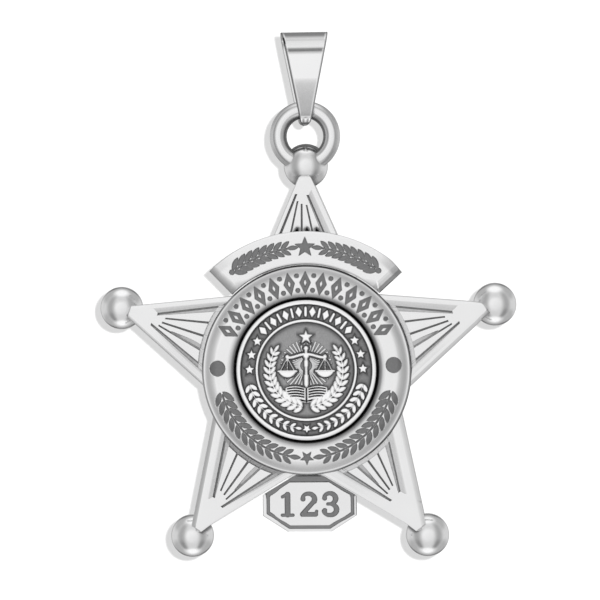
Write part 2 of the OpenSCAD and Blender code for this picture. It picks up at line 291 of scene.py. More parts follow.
def ray_tube(length, middle, left, right, scallop=False, tip=(0.12, 0.14), moat_dark=0.22, line_dark=0.78, arc=(9.0, 11.0), slant=0.0):
    """One ray as a closed tube of cross-sections, with its grooves; rows follow the panel's edge near the panel.
    Each point is (across, along, height, darkness)."""
    end = length - TIP_BACK
    k = math.cos(HALF_ANGLE)
    marks = [middle, left[4], left[5], right[4], right[5]]
    rho = np.concatenate([np.linspace(6.0, 8.26, 7), [8.32, 8.355], np.arange(8.45, end - 0.25, 0.14)] + [[m - 0.012, m + 0.012] for m in marks] + [[end - tip[1] - 0.01, end - 0.70, end - 0.56, end - 0.42, end - 0.30, end - 0.20, end - 0.14, end - 0.10, end - 0.05, end - 0.02, end]])
    if scallop:  # a steep step right at the banner's edge
        rho = np.concatenate([rho[(rho < 10.50) | (rho > 10.66)], [10.50, 10.584, 10.600, 10.66]])
    rho = np.sort(rho)
    rho = rho[np.concatenate([[True], np.diff(rho) > 0.006])]

    def a_of(r, t):
        w = 1 - float(smooth(r, *arc))
        return r * (1 - w) + w * math.sqrt(max(r * r - t * t, 0.01))

    def te(a, side):
        over = min(max((a - (end - 0.14)) / 0.14, 0), 1)
        return half_width(length - a) - 0.13 * over**2 + side[11] * min(max((end - a) / 0.9, 0), 1)

    def edges(a, side):
        """Foot of the border's slope, rib's edge and slot, measured out from the axis; pinched in the arrowhead."""
        facing, f0, f1, bevel, start, groove, room, dip, face, rim_dark, outline, grow = side
        b = min(a, start)
        x = min(max((start - b) / 3.7, 0), 1.3)
        width = room[0] + (room[1] - room[0]) * x
        rim = (f0 + (f1 - f0) * x) / k
        pinch = te(a, side) / te(start, side) if a > start else 1.0
        if facing == "up":
            foot = te(b, side) - rim
            rib = foot - width
            slot = (foot - 0.135, foot)
        else:
            rib = te(b, side) - rim
            foot = rib + width
            slot = (rib, rib + 0.135)
        return foot * pinch, rib * pinch, slot[0] * pinch, slot[1] * pinch, x

    rows = []
    for r in rho:
        halves = []
        drop_end = tip[0] * min(max((r - end + tip[1]) / tip[1], 0), 1) ** (2 if tip[1] < 0.2 else 1)
        e = 0.010
        for sgn, side, other in ((1, right, left), (-1, left, right)):
            facing, f0, f1, bevel, start, groove, room, dip, face, rim_dark, outline, grow = side

            def mid(a):
                return sgn * (edges(a, right)[1] - edges(a, left)[1]) / 2

            def half(a):
                return (edges(a, right)[1] + edges(a, left)[1]) / 2

            def g_line(a):
                return mid(a) + 0.55 * half(a)

            def w_groove(a):
                return 0.060 + 0.022 * min(max((groove - a) / 3.5, 0), 1)

            def wedge(a):
                return 0.02 + (0.26 * float(smooth(edges(a, side)[4], 0.30, 1.0)) if facing == "down" else 0.0)

            def rib(a, q):
                return g_line(a) + w_groove(a) + (edges(a, side)[1] - g_line(a) - w_groove(a)) * q

            def inner(a, q):
                lo, hi = mid(a) + w_groove(a), g_line(a) - w_groove(a) - wedge(a)
                return lo + (hi - lo) * q

            wide = f0 > 0.5
            out_b = bevel / k
            band = (0.24 if facing == "up" else 0.20) / k
            reach = min(1.9, end - start - 0.15)

            def slide(a, t):
                """The facet beside the channel ends aslant: its points slide along the border."""
                if facing != "up" or not wide:
                    return t, a
                shift = 1.1 * max(0.0, t - edges(a, side)[0]) * max(0.0, 1 - abs(a - start) / reach)
                return t - SPREAD * shift, a + shift

            def slope(a, q):
                lo, hi = edges(a, side)[0] + e, te(a, side) - out_b - (band if wide else 0.10)
                return lo + (hi - lo) * q

            cols = [
                (lambda a: mid(a) + w_groove(a) - e, "c"), (lambda a: mid(a) + w_groove(a) + e, "r"),
                (lambda a: inner(a, 0.25), "m"), (lambda a: inner(a, 0.5), "mm"), (lambda a: inner(a, 0.75), "m"),
                (lambda a: inner(a, 1) - e, "r"), (lambda a: inner(a, 1) + e, "w0"), (lambda a: g_line(a) - w_groove(a), "w1"),
                (lambda a: g_line(a) - w_groove(a) + e, "g"), (lambda a: g_line(a) + w_groove(a) - e, "g"),
                (lambda a: rib(a, 0) + e, "r"), (lambda a: rib(a, 0.25), "n"), (lambda a: rib(a, 0.5), "nn"), (lambda a: rib(a, 0.75), "n"),
                (lambda a: edges(a, side)[1] - e, "r"),
            ]
            if facing == "up":
                cols += [(lambda a: edges(a, side)[1] + e, "f"), (lambda a: edges(a, side)[2] - e, "f"), (lambda a: edges(a, side)[2] + e, "k"), (lambda a: edges(a, side)[3] - e, "k")]
            else:
                cols += [(lambda a: edges(a, side)[2] + e, "k"), (lambda a: edges(a, side)[3] - e, "k"), (lambda a: edges(a, side)[3] + e, "f"), (lambda a: edges(a, side)[0] - e, "f")]
            cols += [(lambda a, q=q: slope(a, q), "s%.2f" % q) for q in (0.0, 0.2, 0.4, 0.6, 0.8, 0.95)]
            cols += [(lambda a: slope(a, 1.0) + 0.01, "t"), (lambda a: te(a, side) - out_b - 0.012, "t"), (lambda a: te(a, side) - out_b * 0.98 + 0.012, "o"), (lambda a: te(a, side) - out_b * 0.5, "o")]
            front = []
            for fn, kind in cols:
                a = r
                for _ in range(3):
                    a = a_of(r, fn(a))
                t = fn(a)
                h, dark = RAY_FRONT, 0.0
                moat = r < MOAT_R
                if kind[0] == "o":
                    h, dark = RAY_FRONT - BEVEL * (t - (te(a, side) - out_b)) * k, rim_dark
                elif kind[0] == "s" and a < start:
                    q = float(kind[1:])
                    fade = 1.0 if facing == "up" else float(smooth(start - a, 0.0, 3.0))
                    h = RAY_FRONT - dip * fade * max(0.0, 1 - q / 0.58)
                    dark = fade * max(face[0] * (1 - float(smooth(q, face[1], face[2]))), face[3])
                elif kind in ("r", "m", "mm", "n", "nn"):
                    if moat:
                        h, dark = CHANNEL_Z - 0.03, moat_dark
                    elif scallop and kind[0] == ("m" if sgn < 0 else kind[0]) and kind != "r":
                        q = (1 - float(smooth(r, 10.62, 11.05))) * (1.0 if len(kind) == 2 else 0.30)
                        h, dark = RAY_FRONT - 0.32 * q, 1.6 * q
                elif kind == "f" and a < start:
                    h, dark = CHANNEL_Z + 0.06, moat_dark if moat else (0.42 if facing == "up" else 0.50)
                elif kind == "k" and a < start:
                    h, dark = CHANNEL_Z + 0.04, moat_dark if moat else line_dark
                elif kind == "g" and a < groove:
                    h, dark = GROOVE_Z, moat_dark if moat else (0.84 if wedge(a) < 0.05 else 0.66)
                elif kind == "c" and a < middle:
                    h, dark = GROOVE_Z, moat_dark if moat else 0.84
                elif kind in ("w0", "w1") and a < groove:
                    x = edges(a, side)[4]
                    if wedge(a) > 0.05:
                        h, dark = RAY_FRONT - (0.03 if kind == "w0" else 0.09), 0.34
                    if moat:
                        h, dark = CHANNEL_Z - 0.03, moat_dark
                if kind in ("t", "o") and outline[1] > 0.08 and te(a, side) - t < outline[1]:
                    dark = outline[0]
                if kind[0] in "sto":
                    t, a = slide(a, t)
                front.append([t, a, h - drop_end, dark])
            # rounded edge, drafted wall, rounded back edge
            a = r
            for _ in range(3):
                a = a_of(r, te(a, side))
            w = te(a, side)
            top = RAY_FRONT - BEVEL * bevel - drop_end
            line, wide_line = outline
            for back, low, dark in ((wide_line + 0.014, -0.010, rim_dark), (wide_line, 0.008 - 0.25 * (wide_line - 0.046), line), (0.030, 0.035, line), (0.022, 0.08, line)):
                front.append([*slide(a, w - back), top - low, dark])
            ts = np.maximum.accumulate(np.array([p[0] for p in front]))
            for p, t in zip(front, ts):
                p[0] = float(t)
            wall = [[w - 0.012, a, -0.2, 0.12], [w, a, -STAR_BACK + 0.10, 0.12], [w - 0.02, a, -STAR_BACK + 0.04, 0.0], [w - 0.08, a, -STAR_BACK, 0.0], [w * 0.4, a_of(r, w * 0.4), -STAR_BACK, 0.0]]
            if slant:  # the blunt end runs aslant, with a facet of painted shade at its longer corner
                for p in front + wall:
                    near = float(smooth(p[1], end - 0.75, end))
                    p[1] += slant * near * (p[0] / 0.45 if sgn > 0 else -0.35 * p[0] / 0.45)
                    if sgn > 0 and p[2] > 0.5:
                        inside = w - p[0]
                        facet = (1 - float(smooth(inside, 0.24 * near + 0.10, 0.24 * near + 0.13))) * float(smooth(p[1], end - 0.72, end - 0.50))
                        p[3] = max(p[3], 0.40 * facet)
            halves.append([[sgn * p[0], p[1], p[2], p[3]] for p in front + wall])
        a = r
        c = (edges(a, right)[1] - edges(a, left)[1]) / 2
        h, dark = (GROOVE_Z, moat_dark if r < MOAT_R else 0.84) if r < middle else (RAY_FRONT, 0.0)
        rows.append(halves[1][::-1] + [[c, a_of(r, c), h - drop_end, dark]] + halves[0])
    return np.array(rows)


def tube_to_object(name, rows, turn):
    """rows: (n, m, 4) of (t, a, h, dark). Turned clockwise on the face by turn degrees, closed at both ends."""
    n, m = rows.shape[:2]
    t, a, h, dark = rows[..., 0], rows[..., 1], rows[..., 2], rows[..., 3]
    g = math.radians(turn)
    u = t * math.cos(g) + a * math.sin(g)
    v = -t * math.sin(g) + a * math.cos(g)
    verts = [on_face(u, v, h)]
    for row in (rows[0], rows[-1]):
        ac = float(row[:, 1].mean())
        verts.append(on_face(ac * math.sin(g), ac * math.cos(g), 0.0))
    quads = grid_quads(n, m, close_cols=True)
    j = np.arange(m)
    cap0 = np.stack([(j + 1) % m, j, np.full(m, n * m)], -1)
    cap1 = np.stack([(n - 1) * m + j, (n - 1) * m + (j + 1) % m, np.full(m, n * m + 1)], -1)
    return make_mesh(name, np.concatenate(verts), [quads, cap0, cap1], {"dark": np.concatenate([dark.reshape(-1), [0, 0]])})


def torus_gap(u, v, h):
    """Distance from the surface of the hanging ring's wire."""
    return np.abs(np.hypot(np.hypot(u, v - RING_UP) - RING_R, h) - WIRE_R)


def ball(name, u, v, h, r, seg=116, rings=58, top=False, turn=0.0, beside=(0.0, 0.0, 0.3)):
    """Smooth ball whose poles lie left and right, away from the lights' reflections."""
    lat = np.linspace(0, math.pi, rings + 1)[1:-1]
    lon = np.arange(seg) * 2 * math.pi / seg
    la, lo = np.meshgrid(lat, lon, indexing="ij")
    x, y, z = r * np.cos(la), r * np.sin(la) * np.cos(lo), r * np.sin(la) * np.sin(lo)
    x = np.concatenate([x.reshape(-1), [r, -r]])
    y, z = np.concatenate([y.reshape(-1), [0, 0]]), np.concatenate([z.reshape(-1), [0, 0]])
    n = rings - 1
    quads = grid_quads(n, seg, close_cols=True)
    j = np.arange(seg)
    a = np.stack([(j + 1) % seg, j, np.full(seg, n * seg)], -1)
    b = np.stack([(n - 1) * seg + j, (n - 1) * seg + (j + 1) % seg, np.full(seg, n * seg + 1)], -1)
    dark = np.zeros(len(x))
    # painted shade right beside the ray's tip
    g = math.radians(turn)
    t, along = x * math.cos(g) - y * math.sin(g), x * math.sin(g) + y * math.cos(g) + (TOP_BALL_UP if top else 0.0)
    out = np.maximum(np.abs(t) - half_width(np.maximum(-along, TIP_BACK)), 0)
    past = 1 - smooth(along + TIP_BACK, -0.05, 0.12)
    dark = np.where(t < 0, beside[0], beside[1]) * (1 - smooth(out, 0.02, beside[2])) * past * smooth(z, -0.2, 0.3)
    if top:  # painted shade: a dark arc above, between the ring's arms, and a dark line along the seam with the ring, deeper on the ring's inner side
        out = np.hypot(x, y) / r
        arc = (0.90 - 0.20 * smooth(out, 0.86, 0.92)) * smooth(out, 0.81, 0.86) * smooth(z, -0.45 * r, 0.0)
        dark = np.maximum(dark, arc * smooth(y, 0.25 * r, 0.45 * r))
        inward = (RING_R - np.hypot(u + x, v + y - RING_UP)) / WIRE_R
        dark = np.maximum(dark, (0.20 + 0.30 * smooth(inward, 0.2, 0.6)) * (1 - smooth(torus_gap(u + x, v + y, h + z), 0.02, 0.12)))
    return make_mesh(name, on_face(u + x, v + y, h + z), [quads, a, b], {"dark": dark})


def torus(name, v, big, small, seg=240, tube=96):
    p = np.arange(seg) * 2 * math.pi / seg
    q = np.arange(tube) * 2 * math.pi / tube
    p, q = np.meshgrid(p, q, indexing="ij")
    r = big + small * np.cos(q)
    x, y, z = r * np.sin(p), v + r * np.cos(p), small * np.sin(q)
    inward = (big - r) / small
    # painted shade and highlight on the wire: two dark lines along it, a darker outer edge, shade on its inner side, a
    # highlight along its front crest, and shade where it meets the top ball
    dark = 0.34 * (1 - smooth(np.abs(inward - 0.38), 0.02, 0.13)) + 0.24 * (1 - smooth(np.abs(inward + 0.46), 0.02, 0.14))
    dark = np.maximum(dark + 0.25 * smooth(-inward, 0.56, 0.74), 0.80 * smooth(inward, 0.52, 0.80))
    dark = dark - 1.0 * smooth(inward, -0.36, -0.20) * (1 - smooth(inward, 0.12, 0.30)) * (z > 0)
    gap = np.abs(np.sqrt(x**2 + (y - TOP_RAY - TOP_BALL_UP) ** 2 + (z + BALL_BACK) ** 2) - TOP_BALL_R)
    dark = np.maximum(dark, (0.15 + 0.35 * smooth(inward, 0.2, 0.6)) * (1 - smooth(gap, 0.02, 0.12)))
    return make_mesh(name, on_face(x, y, z), [grid_quads(seg, tube, True, True)], {"dark": dark})


def disc(name, r, low, high, seg=360):
    """The pad under the panel; painted black, as shade, where the gap round the seal shows it."""
    p = np.arange(seg) * 2 * math.pi / seg
    prof = [(r - 0.05, low, 0), (r, low + 0.05, 0), (r, high - 0.03, 0), (r - 0.03, high, 0), (5.80, high, 0), (5.72, high, 2), (5.20, high, 2), (5.12, high, 0)]
    verts = np.concatenate([on_face(q * np.sin(p), q * np.cos(p), h) for q, h, _ in prof] + [on_face(0, 0, low), on_face(0, 0, high)])
    n = len(prof)
    j = np.arange(seg)
    a = np.stack([(j + 1) % seg, j, np.full(seg, n * seg)], -1)
    b = np.stack([(n - 1) * seg + j, (n - 1) * seg + (j + 1) % seg, np.full(seg, n * seg + 1)], -1)
    dark = np.concatenate([np.repeat([d for _, _, d in prof], seg), [0, 0]])
    return make_mesh(name, verts, [grid_quads(n, seg, close_cols=True), a, b], {"dark": dark})


def build_star():
    parts = []
    for i, (turn, length, middle, r, left, right) in enumerate(RAYS):
        rows = ray_tube(length, middle, left, right, scallop=(i == 0), tip=(0.04, 0.14) if i == 1 else (0.12, 0.14), moat_dark=0.60 if i == 4 else 0.22, line_dark=0.84 if i == 0 else 0.78, arc=(10.7, 12.4) if i == 0 else (9.0, 11.0), slant=0.26 if i == 1 else 0.0)
        if i == 0:  # the top ray is flat where the banner sits
            rad = np.hypot(rows[..., 0], rows[..., 1])
            low = (rad < BANNER_R + 0.012) & (rows[..., 2] > SEAT_Z)
            rows[..., 2] = np.where(low, SEAT_Z, rows[..., 2])
        parts.append(tube_to_object("ray%d" % i, rows, turn))
    base = disc("star", PAD_R, -STAR_BACK, PAD_Z)
    for i, (turn, length, middle, r, left, right) in enumerate(RAYS):
        g = math.radians(turn)
        raised = TOP_BALL_UP if i == 0 else 0.0
        parts.append(ball("ball%d" % i, length * math.sin(g), length * math.cos(g) + raised, -BALL_BACK, r, top=(i == 0), turn=turn, beside=[(0.60, 0.60, 0.50), (0, 0, 0.3), (0, 0, 0.3), (0, 0.75, 0.30), (0.75, 0, 0.30)][i]))
    parts.append(torus("ring", RING_UP, RING_R, WIRE_R))
    star = union(base, parts)
    shade(star.data, math.radians(30))
    star.name = star.data.name = "star_cast"
    return star


# ---------------------------------------------------------------- round panel
def lathe_grid(path, n_theta, field=None, name="piece", dark_of=None):
    """A closed ring: path is (n, 2) of (r, h) round the section. field(u, v, r) gives height changes and darkness."""
    th = np.arange(n_theta) * 2 * math.pi / n_theta
    r = np.repeat(path[:, :1], n_theta, 1)
    h = np.repeat(path[:, 1:2], n_theta, 1)
    u, v = r * np.sin(th)[None], r * np.cos(th)[None]
    dark = np.zeros_like(u)
    if field:
        dh, dark = field(u, v, r)
        h = h + dh
    return make_mesh(name, on_face(u, v, h), [grid_quads(len(path), n_theta, True, True)], {"dark": dark})


def panel_height(r, side=1.0):
    inner = PANEL_OPEN
    h = np.full_like(r, PANEL_FRONT)
    x = np.clip((r - inner) / 0.46, 0, 1)  # rounded inner edge
    h = h - 0.34 * (1 - np.sqrt(np.clip(1 - (1 - x) ** 2, 0, 1)))
    rs = np.array([6.86, 6.93, 7.00, 7.06, 7.14, 7.22, 7.29, 7.37, 7.44, 7.52, 7.60, 7.67, 7.75, 7.81])
    fall = np.array([0.0, 0.14, 0.24, 0.29, 0.325, 0.352, 0.374, 0.390, 0.398, 0.398, 0.380, 0.34, 0.24, 0.0])  # slope towards a narrow flat rim
    drop = np.concatenate([[0], np.cumsum((fall[1:] + fall[:-1]) / 2 * np.diff(rs))])
    h = h - side * np.interp(r, rs, drop)
    return h - 0.24 * np.clip((r - 7.83) / 0.17, 0, 1) ** 2


def build_panel():
    z0 = PAD_Z + GAP
    face = np.concatenate([
        PANEL_OPEN + 0.46 * (1 - np.cos(np.linspace(0.10, math.pi / 2, 13))),
        np.arange(PANEL_OPEN + 0.495, 7.80, 0.036),
        [7.83, 7.86, 7.89, 7.92, 7.95, 7.975, 7.995],
    ])
    face = face[np.concatenate([[True], np.diff(face) > 0.004])]
    hs = panel_height(face)
    path = [(PANEL_OPEN, z0), (PANEL_OPEN, z0 + 0.10), (PANEL_OPEN, hs[0] - 0.03)]
    path += list(zip(face, hs))
    path += [(PANEL_R, hs[-1] - 0.03), (PANEL_R, z0 + 0.06), (PANEL_R - 0.03, z0 + 0.01), (PANEL_R - 0.10, z0), (6.8, z0)]
    path = np.array(path)

    def field(u, v, r):
        f = Field(u, v)
        for cx, cy in ((-6.77, 0.18), (6.67, 0.34)):  # the two dots
            f.add(cx, cy, 1.0, lambda x, y: sd_disc(x, y, cx, cy, 0.59))
        mid = 6.66
        # upper ornament: lozenges with beads between them
        n = 13
        for i in range(n):
            deg = -63 + 126 * i / (n - 1)
            cx, cy = polar(mid, deg)
            ang = math.pi / 2 - math.radians(deg)
            f.add(cx, cy, 1.1, lambda x, y: sd_lozenge(x, y, cx, cy, ang, 0.88, 0.42))
            f.cut(cx, cy, 0.6, lambda x, y: sd_lozenge(x, y, cx, cy, ang, 0.30, 0.13))
            if i < n - 1:
                d2 = deg + 63.0 / (n - 1)
                for k in (-0.56, 0.56):
                    bx, by = polar(mid + k, d2)
                    f.add(bx, by, 0.5, lambda x, y: sd_disc(x, y, bx, by, 0.17))
        # lower ornament: two laurel branches that meet at a small star
        add_branch(f, mid, 106, 171, 11, 0.56, 0.21, 33, 0.40, 0.06)
        add_branch(f, mid, 254, 189, 11, 0.56, 0.21, 33, 0.40, 0.06)
        cx, cy = polar(mid, 180)
        f.add(cx, cy, 0.62, lambda x, y: sd_star(x, y, cx, cy, 0.55, math.pi))
        d = f.out()
        face_only = (r > PANEL_OPEN + 0.2) & (r < 7.70)
        on_front = np.zeros_like(r, bool)
        on_front[3 : 3 + len(face)] = True
        m = (1 - smooth(d, -0.028, 0.028)) * face_only * on_front
        # painted shade, black towards the gap round the seal, and dark along the outer wall
        edge = np.interp(r, [5.50, 5.53, 5.58, 5.66, 5.74, 5.82, 5.90, 5.98, 6.08], [1.25, 1.02, 0.90, 0.76, 0.58, 0.44, 0.28, 0.13, 0.0]) * on_front
        walls = np.zeros_like(r)
        walls[:2], walls[2] = 2.0, 1.2
        walls[-1] = 1.0
        walls[3 + len(face) :] = 0.70
        rim = 0.72 * smooth(r, 7.84, 7.90) * on_front
        # painted shade on the shoulder, darker above, next to the banner, and below
        cos_a = v / r
        painted_shade = 0.16 + 0.32 * smooth(cos_a, 0.10, 0.80) + 0.22 * smooth(-cos_a, 0.10, 0.80)
        rim = np.maximum(rim, painted_shade * smooth(r, 7.05, 7.58) * (1 - (1 - 0.6 * smooth(cos_a, 0.5, 0.75)) * smooth(r, 7.74, 7.83)) * on_front)
        # the shoulder is a little steeper on the right
        dh = (panel_height(r[3 : 3 + len(face)], 1.045 + 0.25 * u[3 : 3 + len(face)] / r[3 : 3 + len(face)]) - panel_height(r[3 : 3 + len(face)]))
        more = np.zeros_like(r)
        more[3 : 3 + len(face)] = dh
        more[3 + len(face)] = dh[-1]
        return more - 0.09 * m, np.maximum(np.maximum(m, edge), np.maximum(walls, rim))

    return lathe_grid(path, 1060, field, "round_panel_ring")


# ---------------------------------------------------------------- banner
def build_banner():
    in_r, top, low = PANEL_R + 0.10, PANEL_FRONT - 0.10, SEAT_Z + GAP
    half = math.radians(BANNER_HALF)
    r = np.concatenate([[in_r, in_r + 0.015], np.arange(in_r + 0.045, BANNER_R - 0.05, 0.036), [BANNER_R - 0.035, BANNER_R - 0.012, BANNER_R]])
    th = np.concatenate([-half + np.array([0, 0.02, 0.05, 0.08]) / 9.3, np.linspace(-half + 0.115 / 9.3, half - 0.115 / 9.3, 420), half - np.array([0.08, 0.05, 0.02, 0]) / 9.3])
    R, T = np.meshgrid(r, th, indexing="ij")
    d_out, d_in = BANNER_R - R, R - in_r
    d_end = R * np.sin(half - np.abs(T))
    # the right end leans out a little
    T2 = T + np.where(T > 0, 0.0150 * (R - in_r) / (BANNER_R - in_r) * smooth(T, 0.45, half), 0.0)
    R2 = R - 0.17 * (R - in_r) / (BANNER_R - in_r) * smooth(T, half - 0.14, half + 0.02)
    u, v = R2 * np.sin(T2), R2 * np.cos(T2)
    # bevels all round, meeting in mitres
    drop = np.maximum(0.03 * np.clip(1 - d_out / 0.14, 0, 1), 0.03 * np.clip(1 - d_in / 0.14, 0, 1))
    left_end = 0.25 * np.clip(1 - d_end / 0.70, 0, 1) ** 1.4
    right_end = 0.155 * np.clip(1 - d_end / 0.30, 0, 1) + 0.17 * np.clip(1 - d_end / 0.54, 0, 1)
    drop = np.maximum(drop, np.where(T < 0, left_end, right_end))
    h = top - drop
    edge = np.minimum(np.minimum(d_out, d_end), d_in)
    h = h - 0.04 * np.clip(1 - edge / 0.025, 0, 1) ** 2
    f = Field(u, v)
    mid = 9.36
    f.add(0, mid, 0.85, lambda x, y: sd_star(x, y, 0, mid, 0.80))
    for s in (-1, 1):
        add_branch(f, mid, s * 34.5, s * 6.8, 8, 0.54, 0.20, 34, 0.37, 0.06)
        cx, cy = polar(mid, s * 36.6)
        f.add(cx, cy, 0.6, lambda x, y: sd_disc(x, y, cx, cy, 0.20))
    m = 1 - smooth(f.out(), -0.028, 0.028)
    h = h - 0.09 * m
    # painted shade: dark lines along both ends and the inner edge
    line = np.maximum(np.where(T < 0, 0.60, 0.45 + 0.50 * smooth(d_out, 0.4, 1.4)) * (1 - smooth(d_end, 0.03, 0.08)), 0.50 * (1 - smooth(d_in, 0.008, 0.04)))
    # painted shade towards both ends, more so on the right, and along the inner edge
    far = smooth(np.abs(T), math.radians(31), math.radians(40))
    painted_shade = np.where(T < 0, 0.16, 0.42) * far * (1 - smooth(d_out, 0.50, 0.85))
    painted_shade = np.maximum(painted_shade, (0.22 + 0.22 * far) * (1 - smooth(d_in, 0.02, 0.16 + 0.55 * far)))
    painted_shade = np.maximum(painted_shade, np.where(T < 0, 0.22, 0.0) * (1 - smooth(d_end, 0.66, 0.74)) * (1 - smooth(d_in, 0.4, 2.2)))
    painted_shade = painted_shade + np.where(T < 0, 0.0, 0.20) * (1 - smooth(d_end, 0.66, 0.76)) * smooth(d_end, 0.16, 0.34)
    m = np.maximum(m, np.maximum(line, painted_shade))
    # the lower mitre of the right end catches the light
    mitre = (1 - smooth(np.abs(d_end - 1.32 * d_in) / 1.66, 0.030, 0.062)) * smooth(d_in, 0.03, 0.12) * (1 - smooth(d_in, 0.48, 0.60))
    m = np.where(T > 0, m * (1 - mitre) - 0.9 * mitre, m)
    nr, nt = R.shape
    verts = on_face(u, v, h)
    ring_idx = np.concatenate([np.arange(nt), nt * np.arange(1, nr) + nt - 1, (nr - 1) * nt + np.arange(nt - 2, -1, -1), nt * np.arange(nr - 2, 0, -1)])
    low_rim = verts[ring_idx].copy()
    low_rim[:, 1] = -low * MM
    count, n = len(verts), len(ring_idx)
    j = np.arange(n)
    j2 = (j + 1) % n
    wall = np.stack([ring_idx[j2], ring_idx[j], count + j, count + j2], -1)
    inner = count + np.arange(nt)
    outer = count + (nt - 1) + (nr - 1) + np.arange(nt)[::-1]
    k = np.arange(nt - 1)
    under = np.stack([inner[k], inner[k + 1], outer[k + 1], outer[k]], -1)
    right_end = np.concatenate([count + (nt - 1) + np.arange(nr)])
    left_end = count + np.concatenate([[0], n - np.arange(1, nr - 1), [(nt - 1) + (nr - 1) + (nt - 1)]])
    verts = np.concatenate([verts, low_rim])
    dark = np.concatenate([m.reshape(-1), np.full(n, 0.6)])
    ob = make_mesh("banner_strip", verts, [grid_quads(nr, nt), wall, under, right_end[::-1], left_end], {"dark": dark})
    # flange under the panel's edge, painted black as the shade beneath it
    q = np.linspace(-half, half, 160)
    sec = [(PAD_R + GAP, low + 0.001), (in_r + 0.15, low + 0.001), (in_r + 0.15, PAD_Z - GAP), (PAD_R + GAP, PAD_Z - GAP)]
    fl = np.concatenate([on_face(x * np.sin(q), x * np.cos(q), z) for x, z in sec])
    caps = [np.array([i * len(q) for i in range(4)]), np.array([i * len(q) + len(q) - 1 for i in (3, 2, 1, 0)])]
    flange = make_mesh("flange", fl, [grid_quads(4, len(q), close_rows=True)] + caps, {"dark": np.full(len(fl), 1.8)})
    return union(ob, [flange])


# ---------------------------------------------------------------- seal
def seal_ornament(u, v):
    """Distance fields of the raised parts: ring ornament, side stars, emblem in the middle."""
    band = Field(u, v)
    mid = 4.46
    n = 15
    for i in range(n):  # upper: lozenges and bars in turn
        deg = -47 + 94 * i / (n - 1)
        cx, cy = polar(mid, deg)
        if i % 2 == 0:
            band.add(cx, cy, 0.8, lambda x, y: sd_lozenge(x, y, cx, cy, math.pi / 2 - math.radians(deg), 0.50, 0.30))
        else:
            ax, ay = polar(mid - 0.30, deg)
            bx, by = polar(mid + 0.30, deg)
            band.add(cx, cy, 0.7, lambda x, y: sd_line(x, y, ax, ay, bx, by, 0.125))
    add_branch(band, mid, 105, 171, 9, 0.38, 0.185, 38, 0.245, 0.06)
    add_branch(band, mid, 255, 189, 9, 0.38, 0.185, 38, 0.245, 0.06)
    cx, cy = polar(mid, 180)
    band.add(cx, cy, 0.6, lambda x, y: sd_star(x, y, cx, cy, 0.44, math.pi, 0.46))
    for s in (-1, 1):
        for deg in (59, 74, 89):
            sx, sy = polar(4.33, s * deg)
            band.add(sx, sy, 0.60, lambda x, y: sd_star(x, y, sx, sy, 0.47, 0.0, 0.46))
    em = Field(u, v)

    def line(ax, ay, bx, by, r):
        em.add((ax + bx) / 2, (ay + by) / 2, math.hypot(bx - ax, by - ay) / 2 + r + 0.4, lambda x, y: sd_line(x, y, ax, ay, bx, by, r))

    # a balance rising from an open book, laurel round both, a small star above
    line(0, -1.20, 0, 1.42, 0.125)
    line(0, -1.10, 0, -0.45, 0.185)
    line(0, 0.36, 0, 0.66, 0.18)
    em.add(0, 1.66, 0.6, lambda x, y: sd_disc(x, y, 0, 1.66, 0.20))
    em.add(0, 1.12, 0.6, lambda x, y: sd_disc(x, y, 0, 1.12, 0.25))
    for s in (-1, 1):
        pts = [(s * k * 0.18, 1.16 + 0.14 * math.cos(k / 8 * math.pi) - 0.07) for k in range(9)]
        for (x0, y0), (x1, y1) in zip(pts, pts[1:]):
            line(x0, y0, x1, y1, 0.115)
        ex = s * 1.44
        em.add(ex, 1.02, 0.5, lambda x, y: sd_disc(x, y, ex, 1.02, 0.18))
        line(ex, 0.96, ex - 0.54, -0.06, 0.060)
        line(ex, 0.96, ex + 0.54, -0.06, 0.060)
        line(ex, 0.96, ex, -0.06, 0.052)
        em.add(ex, -0.2, 1.1, lambda x, y: np.maximum(np.hypot(x - ex, (y - 0.02) * 1.22) - 0.70, y + 0.06))
        line(ex - 0.70, -0.07, ex + 0.70, -0.07, 0.085)
        # page: rises from the spine, curls down at the fore edge
        em.add(s * 0.85, -1.75, 1.3, lambda x, y: np.maximum.reduce([
            0.035 - s * x, s * x - 1.62,
            y + 1.36 - 0.17 * np.sin(np.clip(s * x, 0, 1.62) * 1.75), -2.34 - y + 0.15 * np.sin(np.clip(s * x, 0, 1.62) * 1.75)]))
        for k in range(4):  # lines on the page
            y0 = -1.50 - 0.20 * k
            pts = [(s * (0.22 + 0.24 * i), y0 + 0.15 * math.sin((0.22 + 0.24 * i) * 1.75)) for i in range(6)]
            for (x0, y1), (x1, y2) in zip(pts, pts[1:]):
                em.cut((x0 + x1) / 2, (y1 + y2) / 2, 0.4, lambda x, y: sd_line(x, y, x0, y1, x1, y2, 0.032))
        line(s * 0.04, -2.44, s * 0.85, -2.31, 0.055)
        line(s * 0.85, -2.31, s * 1.66, -2.45, 0.055)
        add_branch(em, 2.80, 180 - s * 9, 180 - s * 126, 12, 0.44, 0.20, 38, 0.285, 0.07)
    em.add(0, 2.52, 0.75, lambda x, y: sd_star(x, y, 0, 2.52, 0.62, 0.0, 0.45))
    # thin rays behind the balance
    px, py = u, v - 0.35
    rho, phi = np.hypot(px, py), np.arctan2(px, py)
    n = 40
    q = np.abs((phi * n / (2 * math.pi)) % 1.0 - 0.5) * 2 * math.pi / n * rho
    rays = np.maximum.reduce([q - 0.048 - 0.018 * rho, rho - 1.98, 0.42 - rho, -1.30 - v, np.hypot(np.abs(u) - 2.45, v + 0.2) * 0 + 0.09 - em.out()])
    return band.out(), em.out(), rays


